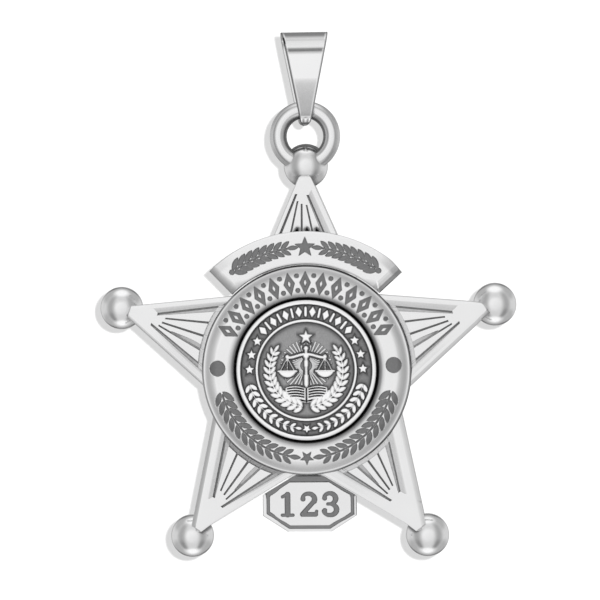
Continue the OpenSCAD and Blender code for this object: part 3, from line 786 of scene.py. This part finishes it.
def build_seal():
    z0 = PAD_Z + GAP
    floor_b, floor_c = 1.24, 1.20
    n_th = 660

    def base(r):
        h = np.full_like(r, floor_c)
        h = np.where(r > 3.60, floor_b, h)
        rim1 = np.clip(1 - ((r - 3.775) / 0.115) ** 4, 0, 1)
        h = np.maximum(h, np.where(rim1 > 0, floor_b + 0.17 * np.sqrt(rim1), 0))
        x = np.clip((r - 4.99) / 0.09, 0, 1)
        rim2 = np.where(r > 4.99, floor_b + 0.24 * np.sqrt(1 - (1 - x) ** 2), 0)
        y = np.clip((r - (SEAL_R - 0.13)) / 0.13, 0, 1)
        rim2 = np.where(r > SEAL_R - 0.13, floor_b + 0.24 - 0.09 * (1 - np.sqrt(np.clip(1 - y**2, 0, 1))), rim2)
        return np.maximum(h, rim2)

    r = np.concatenate([np.arange(0.05, 3.60, 0.042), np.arange(3.62, 3.93, 0.028), np.arange(3.95, 4.96, 0.034), np.arange(4.975, 5.12, 0.018), np.arange(5.14, 5.22, 0.04), np.linspace(5.22, SEAL_R, 8)])
    hs = base(r)
    th = np.arange(n_th) * 2 * math.pi / n_th
    R, T = np.meshgrid(r, th, indexing="ij")
    u, v = R * np.sin(T), R * np.cos(T)
    H = np.repeat(hs[:, None], n_th, 1)
    band, em, rays = seal_ornament(u, v)
    in_band = (R > 3.92) & (R < 4.97)
    in_mid = R < 3.62
    rb = (1 - smooth(band, -0.050, 0.018)) * in_band
    x = np.clip(-em / 0.13, 0, 1)
    rm = np.where(em < 0.02, 0.45 + 0.55 * np.sqrt(np.clip(1 - (1 - x) ** 2, 0, 1)), 0) * (1 - smooth(em, -0.015, 0.02)) * in_mid
    rr = (1 - smooth(rays, -0.03, 0.02)) * in_mid
    H = H + 0.17 * rb + np.maximum(0.24 * rm, 0.10 * rr)
    # the ground is oxidised, and painted shade makes it darkest beside the rims and round the raised work
    edge_b = np.minimum(np.abs(R - 4.97), np.abs(R - 3.91))
    near_b = np.maximum(np.exp(-np.clip(edge_b, 0, None) / 0.085), np.exp(-np.clip(band, 0, None) / 0.075))
    near_m = np.maximum(0.85 * np.exp(-np.clip(em, 0, None) / 0.085), np.exp(-np.clip(3.62 - R, 0, None) / 0.11))
    dark_b = in_band * (1 - smooth(-band, -0.02, 0.02)) * (0.92 + 0.98 * near_b)
    dark_m = in_mid * (1 - smooth(-em, -0.02, 0.02)) * (0.80 + 0.88 * near_m)
    dark_m = dark_m * (1 - 0.62 * rr)
    dark = np.clip(dark_b + dark_m, 0, 2)
    dark = np.where((R > 3.60) & (R < 3.665), 1.6, dark)
    dark = np.where((R > 3.885) & (R < 3.93), 1.7, dark)
    dark = np.where((R > 4.96) & (R < 5.00), 1.6, dark)
    dark = np.maximum(dark, 0.16 * smooth(R, 5.14, 5.20))
    dark = np.maximum(dark, 0.5 * smooth(R, 5.335, 5.35))
    n = len(r)
    verts = [on_face(u, v, H), on_face(SEAL_R * np.sin(th), SEAL_R * np.cos(th), z0 + 0.03), on_face((SEAL_R - 0.03) * np.sin(th), (SEAL_R - 0.03) * np.cos(th), z0), on_face(0, 0, hs[0] + 0.24), on_face(0, 0, z0)]
    total = n + 2
    quads = grid_quads(total, n_th, close_cols=True)
    j = np.arange(n_th)
    c0, c1 = total * n_th, total * n_th + 1
    a = np.stack([(j + 1) % n_th, j, np.full(n_th, c0)], -1)
    b = np.stack([(total - 1) * n_th + j, (total - 1) * n_th + (j + 1) % n_th, np.full(n_th, c1)], -1)
    verts = np.concatenate(verts)
    verts[c0] = on_face(0, 0, float(H[0].mean()))[0]
    dark = np.concatenate([dark.reshape(-1), np.full(n_th, 2.0), np.zeros(n_th), [float(dark[0].mean()), 0]])
    return make_mesh("seal_medallion", verts, [quads, a, b], {"dark": dark}, sharp=math.radians(50))


# ---------------------------------------------------------------- number plate
def digit_field(f, digit, cx, cy, k):
    """Plain serif digit in a box 2k high: strokes as lines and arcs, thick and thin."""
    w, thin = 0.21 * k, 0.11 * k
    kx = 1.16 * k  # a little wide

    def line(ax, ay, bx, by, r):
        ax, ay, bx, by = cx + ax * kx, cy + ay * k, cx + bx * kx, cy + by * k
        f.add((ax + bx) / 2, (ay + by) / 2, math.hypot(bx - ax, by - ay) / 2 + r + 0.4, lambda x, y: sd_line(x, y, ax, ay, bx, by, r))

    def arc(ox, oy, rx, ry, a0, a1, r0, r1, steps=14):
        pts = [(ox + rx * math.sin(math.radians(a0 + (a1 - a0) * i / steps)), oy + ry * math.cos(math.radians(a0 + (a1 - a0) * i / steps))) for i in range(steps + 1)]
        for i in range(steps):
            q = (i + 0.5) / steps
            line(*pts[i], *pts[i + 1], r0 + (r1 - r0) * q)

    if digit == 1:
        line(0.02, -0.85, 0.02, 0.80, w)
        line(-0.34, 0.62, 0.0, 0.84, thin)
        line(-0.36, -0.89, 0.40, -0.89, thin)
    elif digit == 2:
        arc(0.0, 0.42, 0.44, 0.46, -75, 110, thin, w)
        line(0.41, 0.26, -0.38, -0.74, w * 0.80)
        line(-0.44, -0.83, 0.52, -0.83, w * 0.80)
        line(0.54, -0.83, 0.58, -0.58, thin)
        f.add(cx - 0.38 * kx, cy + 0.44 * k, 0.6, lambda x, y: sd_disc(x, y, cx - 0.38 * kx, cy + 0.44 * k, 0.19 * k))
    elif digit == 3:
        arc(-0.02, 0.46, 0.42, 0.44, -75, 90, thin, w, 10)
        arc(-0.02, 0.46, 0.42, 0.44, 90, 180, w, thin, 8)
        arc(-0.02, -0.44, 0.48, 0.46, 0, 90, thin, w, 8)
        arc(-0.02, -0.44, 0.48, 0.46, 90, 255, w, thin, 12)
        line(-0.16, 0.02, 0.0, 0.02, thin)
        for y0 in (0.50, -0.52):
            f.add(cx - 0.38 * kx, cy + y0 * k, 0.6, lambda x, y: sd_disc(x, y, cx - 0.38 * kx, cy + y0 * k, 0.18 * k))


def build_plate():
    top, low = 0.45, -0.30
    cxx, cyy = 1.95, 1.25
    ys = np.concatenate([[-PLATE_LOW], np.linspace(-PLATE_LOW + 0.02, -7.32, 138), [-7.20]])
    # half-width at each height: the octagon, and the two rays that pass in front
    oct_w = np.where(ys < -PLATE_LOW + cyy, PLATE_W - cxx + cxx * (ys + PLATE_LOW) / cyy, PLATE_W)
    oct_w = np.where(ys > -PLATE_HIGH - cyy, PLATE_W - cxx * (ys + PLATE_HIGH + cyy) / cyy, oct_w)
    oct_w = np.where(ys > -PLATE_HIGH, 1.64, oct_w)
    g = math.radians(LOW_ANGLE)
    ray_w = []
    for y in ys:  # where the ray's inner edge crosses this height
        a, b = 0.0, 8.0
        for _ in range(40):
            m = (a + b) / 2
            along, side = m * math.sin(g) + y * math.cos(g), m * math.cos(g) - y * math.sin(g)
            inside = side < half_width(LOW_RAY - along) + 0.02 and along > 0 and along < LOW_RAY - TIP_BACK
            a, b = (a, m) if inside else (m, b)
        ray_w.append(a)
    shift = 0.09  # the octagon lies a little to the right of the star's axis
    w_left = np.maximum(np.minimum(oct_w - shift, np.array(ray_w)), 0.05)
    w_right = np.maximum(np.minimum(oct_w + shift, np.array(ray_w)), 0.05)
    s = np.concatenate([[-1], np.linspace(-0.995, 0.995, 208), [1]])
    Y, S = np.meshgrid(ys, s, indexing="ij")
    X = S * np.where(S < 0, w_left[:, None], w_right[:, None])

    def inset(x, y):
        """Distance inside the octagon's outline."""
        ax, ay = np.abs(x), np.abs(y + (PLATE_LOW + PLATE_HIGH) / 2)
        hy = (PLATE_LOW - PLATE_HIGH) / 2
        d1, d2 = PLATE_W - ax, hy - ay
        nx, ny = cyy / math.hypot(cxx, cyy), cxx / math.hypot(cxx, cyy)
        d3 = (PLATE_W - ax) * nx + (hy - ay) * ny - cxx * nx * 1.0
        return np.minimum(np.minimum(d1, d2), d3)

    d = inset(X - shift, Y)
    more = 0.09 * smooth(Y, -9.9, -9.2)  # the frame line is wider above, beside the rays and the panel, as painted shade
    dl = d - 0.11 * smooth(-X, 2.0, 2.8) - 0.07 * smooth(-Y, 11.2, 11.7)
    line = smooth(dl, 0.17 - more, 0.21 - more) * (1 - smooth(dl, 0.40 + more, 0.44 + more))
    f = Field(X, Y)
    for digit, cx in ((1, -1.62), (2, 0.0), (3, 1.66)):
        digit_field(f, digit, cx, -10.28, 0.93)
    m = (1 - smooth(f.out(), -0.025, 0.025)) * smooth(d, 0.45, 0.50)
    H = np.full_like(X, top) - 0.10 * line - 0.09 * m
    H = H - 0.05 * np.clip(1 - d / 0.05, 0, 1)
    tab = d < -0.02
    H = np.where(tab, 0.25, H)
    dark = np.clip(line * 0.95 + m, 0, 1)
    ny, nx = X.shape
    verts = on_face(X, Y, H)
    ring_idx = np.concatenate([np.arange(nx), nx * np.arange(1, ny) + nx - 1, (ny - 1) * nx + np.arange(nx - 2, -1, -1), nx * np.arange(ny - 2, 0, -1)])
    rim = verts[ring_idx].copy()
    rim[:, 1] = -low * MM
    count, n = len(verts), len(ring_idx)
    j = np.arange(n)
    j2 = (j + 1) % n
    wall = np.stack([ring_idx[j2], ring_idx[j], count + j, count + j2], -1)
    right = count + (nx - 1) + np.arange(ny)
    left = count + np.concatenate([[0], n - np.arange(1, ny - 1), [(nx - 1) + (ny - 1) + (nx - 1)]])
    k = np.arange(ny - 1)
    under = np.stack([left[k], left[k + 1], right[k + 1], right[k]], -1)
    first = count + np.arange(nx)
    last = count + (nx - 1) + (ny - 1) + np.arange(nx)
    verts = np.concatenate([verts, rim])
    dark = np.concatenate([dark.reshape(-1), np.zeros(n)])
    return make_mesh("number_plate_face", verts, [grid_quads(ny, nx), wall, under, first[::-1], last], {"dark": dark})


# ---------------------------------------------------------------- bail
def bail_front(z):
    """Half-width of the strip at a height."""
    tip_z = HINGE_Z - (EYE + SHEET) + BAIL_TIP
    hw, top = BAIL_W / 2, BAIL_ROLL
    d = math.hypot(hw, top - tip_z)
    a = math.atan2(hw, top - tip_z) - math.asin(BAIL_TIP / d)
    tx, tz = BAIL_TIP * math.cos(a), tip_z - BAIL_TIP * math.sin(a)
    z = np.asarray(z, float)
    straight = tx + (hw - tx) * (z - tz) / (top - tz)
    rounded = np.sqrt(np.clip(BAIL_TIP**2 - (z - tip_z) ** 2, 1e-4, None))
    return np.where(z > tz, straight, rounded)


def bail_loop(roll, eye, n_round=110, n_leg=90):
    """Points (y, z) and outward directions round the strip's side view."""
    k = (roll - eye) / -HINGE_Z
    tilt = math.asin(k)
    pts = []
    for i in range(n_round + 1):  # over the top roll, from the front leg to the back leg
        b = -tilt + (math.pi + 2 * tilt) * i / n_round
        pts.append((-roll * math.cos(b), roll * math.sin(b), -math.cos(b), math.sin(b)))
    for i in range(1, n_leg):
        q = i / n_leg
        y0, z0 = roll * math.cos(tilt), -roll * math.sin(tilt)
        y1, z1 = eye * math.cos(tilt), HINGE_Z - eye * math.sin(tilt)
        pts.append((y0 + (y1 - y0) * q, z0 + (z1 - z0) * q, math.cos(tilt), -math.sin(tilt)))
    for i in range(n_round + 1):  # under the lower eye, from the back to the front
        b = -tilt - (math.pi - 2 * tilt) * i / n_round
        pts.append((eye * math.cos(b), HINGE_Z + eye * math.sin(b), math.cos(b), math.sin(b)))
    for i in range(1, n_leg):
        q = i / n_leg
        y1, z1 = -roll * math.cos(tilt), -roll * math.sin(tilt)
        y0, z0 = -eye * math.cos(tilt), HINGE_Z - eye * math.sin(tilt)
        pts.append((y0 + (y1 - y0) * q, z0 + (z1 - z0) * q, -math.cos(tilt), -math.sin(tilt)))
    return np.array(pts)


# Painted shade and highlight on the bail's front by height, standing in for its reflections; below zero, a painted
# highlight
BAIL_SHADE_AND_HIGHLIGHT = (
    [-5.4, -4.6, -4.0, -3.4, -2.87, -2.64, -2.49, -2.41, -2.33, -2.26, -0.50, -0.42, -0.34, -0.26, -0.19, -0.11, -0.03, 0.05, 0.12, 0.20, 0.27, 0.34, 0.40, 0.46, 0.52, 0.57, 0.62, 0.70, 0.78, 0.85, 0.93, 1.00, 1.08, 1.18, 1.25, 1.35],
    [0.50, 0.50, 0.48, 0.42, 0.355, 0.30, 0.22, 0.17, 0.10, 0.0, 0.0, 0.15, 0.36, 0.42, 0.86, 0.80, 0.58, 0.27, 0.12, 0.13, 0.12, 0.06, -0.20, -0.90, -0.60, 0.0, 0.20, 0.30, 0.36, 0.52, 0.66, 0.82, 0.80, 0.80, 0.50, 0.30],
)


def build_bail():
    out, inn = bail_loop(BAIL_ROLL, EYE + SHEET), bail_loop(BAIL_ROLL - SHEET, EYE)
    wo, wi = bail_front(out[:, 1]), bail_front(inn[:, 1])
    tip_z = HINGE_Z - (EYE + SHEET) + BAIL_TIP
    rows, dark = [], []
    b = 0.05
    lean = 0.135  # the fold is a little askew: the back leg hangs to the left of the front one
    for i in range(len(out)):
        oy, oz, ny, nz = out[i]
        iy, iz, my, mz = inn[i]
        a, c = wo[i], wi[i]
        bo, bi = min(b, a * 0.45), min(b, c * 0.45)
        tone = 0.12
        if oy < 0:  # front: a crease under the roll, and painted shade by height, dark in the crease and darker towards the eye
            oy += 0.06 * max(0.0, 1 - ((oz + 0.15) / 0.14) ** 2)
            tone = float(np.interp(oz, BAIL_SHADE_AND_HIGHLIGHT[0], BAIL_SHADE_AND_HIGHLIGHT[1]))
        k = a - bo
        e = [1 - min(x, y * k) / k for x, y in ((0.065, 0.10), (0.095, 0.16), (0.20, 0.30))]
        cols = [-1.0, -e[0], -e[1], -e[2], -0.5, 0.0, 0.5, e[2], e[1], e[0], 1.0]
        sec = [(k * q, oy, oz) for q in cols] + [
            (a - bo * 0.3, oy - ny * bo * 0.3, oz - nz * bo * 0.3), (a, oy - ny * bo, oz - nz * bo),
            (c, iy + my * bi, iz + mz * bi), (c - bi * 0.3, iy + my * bi * 0.3, iz + mz * bi * 0.3),
            (c - bi, iy, iz), (0, iy, iz), (-(c - bi), iy, iz),
            (-(c - bi * 0.3), iy + my * bi * 0.3, iz + mz * bi * 0.3), (-c, iy + my * bi, iz + mz * bi),
            (-a, oy - ny * bo, oz - nz * bo), (-(a - bo * 0.3), oy - ny * bo * 0.3, oz - nz * bo * 0.3),
        ]
        rows.append([(x - lean * y, y, z) for x, y, z in sec])
        front = [tone] * len(cols)
        if oy < 0 and oz < tip_z + 0.25:  # painted highlight at the tip, with a painted dark ring in it
            for n, q in enumerate(cols):
                d = math.hypot(k * q, oz - (tip_z - 0.06))
                front[n] = 0.75 * max(0.0, 1 - abs(d - 0.20) / 0.07) if d < 0.34 else 0.05
        # painted shade: dark lines along both edges of the front and on the sides, black high on the left, and the
        # inside darker towards its edges
        front[0], front[1], front[2] = 0.85, 0.55, 0.3 * front[2]
        front[-1], front[-2], front[-3] = 0.75, 0.55, 0.3 * front[-3]
        if oy < 0 and 0.38 < oz < 0.86:
            front[0], front[1] = 1.8, 1.1
        edge = 1.8 if oy < 0 and 0.15 < oz < 0.86 else 0.88
        dark.append(front + [0.80, 0.65, 0.30, 0.20, 0.12, 0.10, 0.12, 0.20, 0.30, edge, edge])
    rows = np.array(rows)
    n, m = rows.shape[:2]
    return make_mesh("bail_strip", rows.reshape(-1, 3) * MM, [grid_quads(n, m, True, True)], {"dark": np.array(dark)}, sharp=math.radians(35))


# ---------------------------------------------------------------- materials
def nodes_of(name):
    mat = bpy.data.materials.new(name)
    mat.use_nodes = True
    nt = mat.node_tree
    return mat, nt, nt.nodes["Principled BSDF"]


def silver(name, grey=0.105, rough=0.16, rough_dark=0.50, tone=0.85, grain=0.0):
    """Polished silver with fine wear in its gloss. The painted value 'dark' turns it to grey at 1 and to black at 2,
    for the oxide in the engraved work and for painted shade elsewhere; at -1 it is at its brightest, a painted
    highlight.
    """
    mat, nt, bsdf = nodes_of(name)
    n, l = nt.nodes, nt.links
    co = n.new("ShaderNodeTexCoord")
    at = n.new("ShaderNodeAttribute")
    at.attribute_name = "dark"

    def noise(scale, detail, rough_=0.5):
        t = n.new("ShaderNodeTexNoise")
        t.inputs["Scale"].default_value, t.inputs["Detail"].default_value, t.inputs["Roughness"].default_value = scale, detail, rough_
        l.new(co.outputs["Object"], t.inputs["Vector"])
        return t.outputs["Fac"]

    def span(value, lo, hi, a=0.0, b=1.0):
        m = n.new("ShaderNodeMapRange")
        m.inputs["From Min"].default_value, m.inputs["From Max"].default_value = a, b
        m.inputs["To Min"].default_value, m.inputs["To Max"].default_value = lo, hi
        l.new(value, m.inputs["Value"])
        return m.outputs["Result"]

    def blend(kind, factor, a, b):
        m = n.new("ShaderNodeMix")
        m.data_type = kind
        l.new(factor, m.inputs["Factor"])
        sockets = [x for x in m.inputs if x.enabled and x.name in ("A", "B")]
        for sock, val in zip(sockets, (a, b)):
            if hasattr(val, "node"):
                l.new(val, sock)
            else:
                sock.default_value = val
        return [x for x in m.outputs if x.enabled][0]

    cloud, speck, fine = noise(420, 4), noise(9000, 2), noise(5200, 3)
    first, second = span(at.outputs["Fac"], 0.0, 1.0, 0.0, 1.0), span(at.outputs["Fac"], 0.0, 1.0, 1.0, 2.0)
    colour = blend("RGBA", first, (tone, tone, tone * 1.004, 1), (grey, grey, grey * 1.01, 1))
    colour = blend("RGBA", second, colour, (0.006, 0.006, 0.006, 1))
    colour = blend("RGBA", span(at.outputs["Fac"], 1.0, 0.0, -1.0, 0.0), colour, (0.975, 0.975, 0.975, 1))
    mul = n.new("ShaderNodeMath")
    mul.operation = "MULTIPLY"
    l.new(span(cloud, 0.97, 1.03), mul.inputs[0])
    # the darker parts, oxide and painted shade alike, are grainy
    grit = n.new("ShaderNodeMath")
    grit.operation = "MULTIPLY_ADD"
    l.new(first, grit.inputs[0])
    l.new(span(speck, -0.5 * grain, 0.5 * grain, 0.3, 0.7), grit.inputs[1])
    grit.inputs[2].default_value = 1.0
    l.new(grit.outputs[0], mul.inputs[1])
    tint = n.new("ShaderNodeVectorMath")
    tint.operation = "SCALE"
    l.new(colour, tint.inputs[0])
    l.new(mul.outputs[0], tint.inputs["Scale"])
    l.new(tint.outputs["Vector"], bsdf.inputs["Base Color"])
    l.new(blend("FLOAT", first, span(fine, rough * 0.8, rough * 1.25), rough_dark), bsdf.inputs["Roughness"])
    bump = n.new("ShaderNodeBump")
    bump.inputs["Strength"].default_value = 0.06
    bump.inputs["Distance"].default_value = 0.00002
    l.new(fine, bump.inputs["Height"])
    waves = n.new("ShaderNodeBump")
    waves.inputs["Strength"].default_value = 1.0
    waves.inputs["Distance"].default_value = 0.00003
    l.new(noise(260, 1), waves.inputs["Height"])
    l.new(waves.outputs["Normal"], bump.inputs["Normal"])
    l.new(bump.outputs["Normal"], bsdf.inputs["Normal"])
    bsdf.inputs["Metallic"].default_value = 1.0
    return mat


# ---------------------------------------------------------------- pieces
def place(ob, body, nodes, mat):
    ob.data.materials.clear()
    ob.data.materials.append(mat)
    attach(ob, body)
    if nodes:
        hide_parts(*nodes)
    return ob


star = place(build_star(), "badge", ["star"], silver("star_polished", 0.105, 0.17, tone=0.84, grain=0.5))
panel = place(build_panel(), "badge", ["round_panel"], silver("panel_polished", 0.250, 0.14, tone=0.84, grain=0.15))
banner = place(build_banner(), "badge", ["banner"], silver("banner_polished", 0.255, 0.15, tone=0.84, grain=0.15))
seal = place(build_seal(), "badge", ["seal"], silver("seal_oxide_and_shade", 0.255, 0.22, 0.55, tone=0.98, grain=0.25))
plate = place(build_plate(), "badge", ["number_plate"], silver("plate_satin", 0.265, 0.22, tone=0.84, grain=0.15))
bail = place(build_bail(), "bail", ["bail"], silver("bail_polished", 0.115, 0.12, tone=0.88, grain=0.2))

# ---------------------------------------------------------------- camera
PX = 0.07665 * MM
LENS, SENSOR = 150.0, 36.0
AZIM = math.radians(4.0)
view_w = 600 * PX
dist = view_w * LENS / SENSOR
target = Vector((-0.51 * MM, 0.0, (5.346 - STAR_DROP) * MM))
cam_data = bpy.data.cameras.new("camera")
cam = bpy.data.objects.new("camera", cam_data)
bpy.context.scene.collection.objects.link(cam)
cam_data.lens, cam_data.sensor_width = LENS, SENSOR
cam_data.clip_start, cam_data.clip_end = 0.005, 10
back = Vector((math.sin(AZIM), -math.cos(AZIM), 0.0))
side = Vector((math.cos(AZIM), math.sin(AZIM), 0.0))
cam.location = target + back * dist
look = (-back).to_track_quat("-Z", "Y").to_matrix().to_4x4()
cam.matrix_world = Matrix.Translation(cam.location) @ look @ Matrix.Rotation(-math.radians(0.6), 4, "Z")
bpy.context.scene.camera = cam

# ---------------------------------------------------------------- studio
world = bpy.data.worlds.new("studio")
bpy.context.scene.world = world
world.use_nodes = True
wn, wl = world.node_tree.nodes, world.node_tree.links
wn.clear()


def wmath(op, *args):
    m = wn.new("ShaderNodeMath")
    m.operation = op
    for i, x in enumerate(args):
        if isinstance(x, (int, float)):
            m.inputs[i].default_value = x
        else:
            wl.new(x, m.inputs[i])
    return m.outputs[0]


def ramp(x, a, b, lo=0.0, hi=1.0):
    """Smooth step between the angles a and b, in degrees."""
    m = wn.new("ShaderNodeMapRange")
    m.interpolation_type = "SMOOTHSTEP"
    wl.new(x, m.inputs["Value"])
    m.inputs["From Min"].default_value, m.inputs["From Max"].default_value = math.radians(a), math.radians(b)
    m.inputs["To Min"].default_value, m.inputs["To Max"].default_value = lo, hi
    return m.outputs["Result"]


def dot(vec):
    m = wn.new("ShaderNodeVectorMath")
    m.operation = "DOT_PRODUCT"
    wl.new(coord.outputs["Generated"], m.inputs[0])
    m.inputs[1].default_value = vec
    return m.outputs["Value"]


# Soft light all round; two tall dark cards left and right of the viewer, a bright top and bottom, darker behind.
coord = wn.new("ShaderNodeTexCoord")
to_view, to_side, up = dot(back), dot(side), dot((0, 0, 1))
off_axis = wmath("ARCCOSINE", to_view)
az = wmath("ABSOLUTE", wmath("ARCTAN2", to_side, to_view))
el = wmath("ARCSINE", up)
ael = wmath("ABSOLUTE", el)
level = ramp(off_axis, 22, 48, 0.97, 0.78)
below = wmath("MULTIPLY", el, -1.0)
card = wmath("MULTIPLY", wmath("MULTIPLY", ramp(az, 26, 58), ramp(az, 66, 98, 1.0, 0.0)), wmath("MULTIPLY", ramp(el, 42, 74, 1.0, 0.0), ramp(below, 54, 72, 1.0, 0.0)))
level = wmath("SUBTRACT", level, wmath("MULTIPLY", card, ramp(below, 10, 36, 0.33, 0.47)))
level = wmath("SUBTRACT", level, wmath("MULTIPLY", ramp(az, 72, 104), wmath("MULTIPLY", ramp(ael, 8, 28, 0.02, 0.27), ramp(ael, 50, 66, 1.0, 0.0))))
level = wmath("SUBTRACT", level, wmath("MULTIPLY", ramp(az, 140, 162), ramp(ael, 30, 52, 0.36, 0.0)))
level = wmath("ADD", level, wmath("MULTIPLY", ramp(az, 165, 173), ramp(ael, 20, 40, 0.30, 0.0)))
level = wmath("ADD", level, ramp(el, 58, 76, 0.0, 0.36))
level = wmath("ADD", level, ramp(below, 62, 78, 0.0, 0.42))
lean = dot((Vector((0, 0, 1)) - side).normalized())
level = wmath("ADD", level, wmath("MULTIPLY", lean, ramp(off_axis, 26, 46, 0.16, 0.0)))
comb = wn.new("ShaderNodeCombineColor")
for i in range(3):
    wl.new(level, comb.inputs[i])
env = wn.new("ShaderNodeBackground")
wl.new(comb.outputs[0], env.inputs["Color"])
plain = wn.new("ShaderNodeBackground")
plain.inputs["Color"].default_value = (1, 1, 1, 1)
path = wn.new("ShaderNodeLightPath")
mix = wn.new("ShaderNodeMixShader")
wl.new(path.outputs["Is Camera Ray"], mix.inputs[0])
wl.new(env.outputs[0], mix.inputs[1])
wl.new(plain.outputs[0], mix.inputs[2])
wout = wn.new("ShaderNodeOutputWorld")
wl.new(mix.outputs[0], wout.inputs["Surface"])

# Pale floor below, and a white wall behind that only the view from the front sees; a small lamp beside the camera,
# which lights the wall alone, throws the pendant's soft shadow on it.
FLOOR_Z, WALL = -0.053, 0.060


def sheet(name, corners):
    me = bpy.data.meshes.new(name)
    me.from_pydata(corners, [], [(0, 1, 2, 3)])
    ob = bpy.data.objects.new(name, me)
    bpy.context.scene.collection.objects.link(ob)
    return ob


floor = sheet("floor", [(-0.5, -0.5, FLOOR_Z), (0.5, -0.5, FLOOR_Z), (0.5, 0.5, FLOOR_Z), (-0.5, 0.5, FLOOR_Z)])
mat, nt, bsdf = nodes_of("floor_pale")
noise = nt.nodes.new("ShaderNodeTexNoise")
noise.inputs["Scale"].default_value = 60
shade_ = nt.nodes.new("ShaderNodeMapRange")
shade_.inputs["To Min"].default_value, shade_.inputs["To Max"].default_value = 0.86, 0.89
nt.links.new(noise.outputs["Fac"], shade_.inputs["Value"])
nt.links.new(shade_.outputs["Result"], bsdf.inputs["Base Color"])
bsdf.inputs["Roughness"].default_value = 0.8
bsdf.inputs["Specular IOR Level"].default_value = 0.2
floor.data.materials.append(mat)
floor.visible_glossy = False

c = target - back * WALL
w, up_v = 0.11, Vector((0, 0, 1))
low_v = Vector((0, 0, FLOOR_Z - c.z + 0.0002))
wall = sheet("wall", [c - side * w + low_v, c + side * w + low_v, c + side * w + up_v * 0.09, c - side * w + up_v * 0.09])
mat = bpy.data.materials.new("wall_white")
mat.use_nodes = True
nt = mat.node_tree
nt.nodes.clear()
geo, clear = nt.nodes.new("ShaderNodeNewGeometry"), nt.nodes.new("ShaderNodeBsdfTransparent")
matt, glow, both = nt.nodes.new("ShaderNodeBsdfDiffuse"), nt.nodes.new("ShaderNodeEmission"), nt.nodes.new("ShaderNodeAddShader")
matt.inputs["Color"].default_value = (0.4, 0.4, 0.4, 1)
glow.inputs["Color"].default_value = (1, 1, 1, 1)
glow.inputs["Strength"].default_value = 0.42
pick, out = nt.nodes.new("ShaderNodeMixShader"), nt.nodes.new("ShaderNodeOutputMaterial")
nt.links.new(matt.outputs[0], both.inputs[0])
nt.links.new(glow.outputs[0], both.inputs[1])
nt.links.new(geo.outputs["Backfacing"], pick.inputs[0])
nt.links.new(both.outputs[0], pick.inputs[1])
nt.links.new(clear.outputs[0], pick.inputs[2])
nt.links.new(pick.outputs[0], out.inputs["Surface"])
wall.data.materials.append(mat)
for flag in ("visible_diffuse", "visible_glossy", "visible_transmission", "visible_volume_scatter", "visible_shadow"):
    setattr(wall, flag, False)

lamp_data = bpy.data.lights.new("wall_lamp", "POINT")
lamp_data.energy = 2.7
lamp_data.shadow_soft_size = 0.0004
lamp = bpy.data.objects.new("wall_lamp", lamp_data)
bpy.context.scene.collection.objects.link(lamp)
k = (dist + WALL) / WALL
lamp.location = cam.location + side * (6.0 * PX * k) + up_v * (4.0 * PX * k)
only = bpy.data.collections.new("lit_by_wall_lamp")
only.objects.link(wall)
lamp.light_linking.receiver_collection = only
throwing = bpy.data.collections.new("shadow_on_wall")
for ob in (star, panel, banner, seal, bail):
    throwing.objects.link(ob)
lamp.light_linking.blocker_collection = throwing

sc = bpy.context.scene
sc.view_settings.view_transform = "Standard"
sc.view_settings.look = "None"
sc.view_settings.exposure = 0.0
sc.view_settings.gamma = 1.0
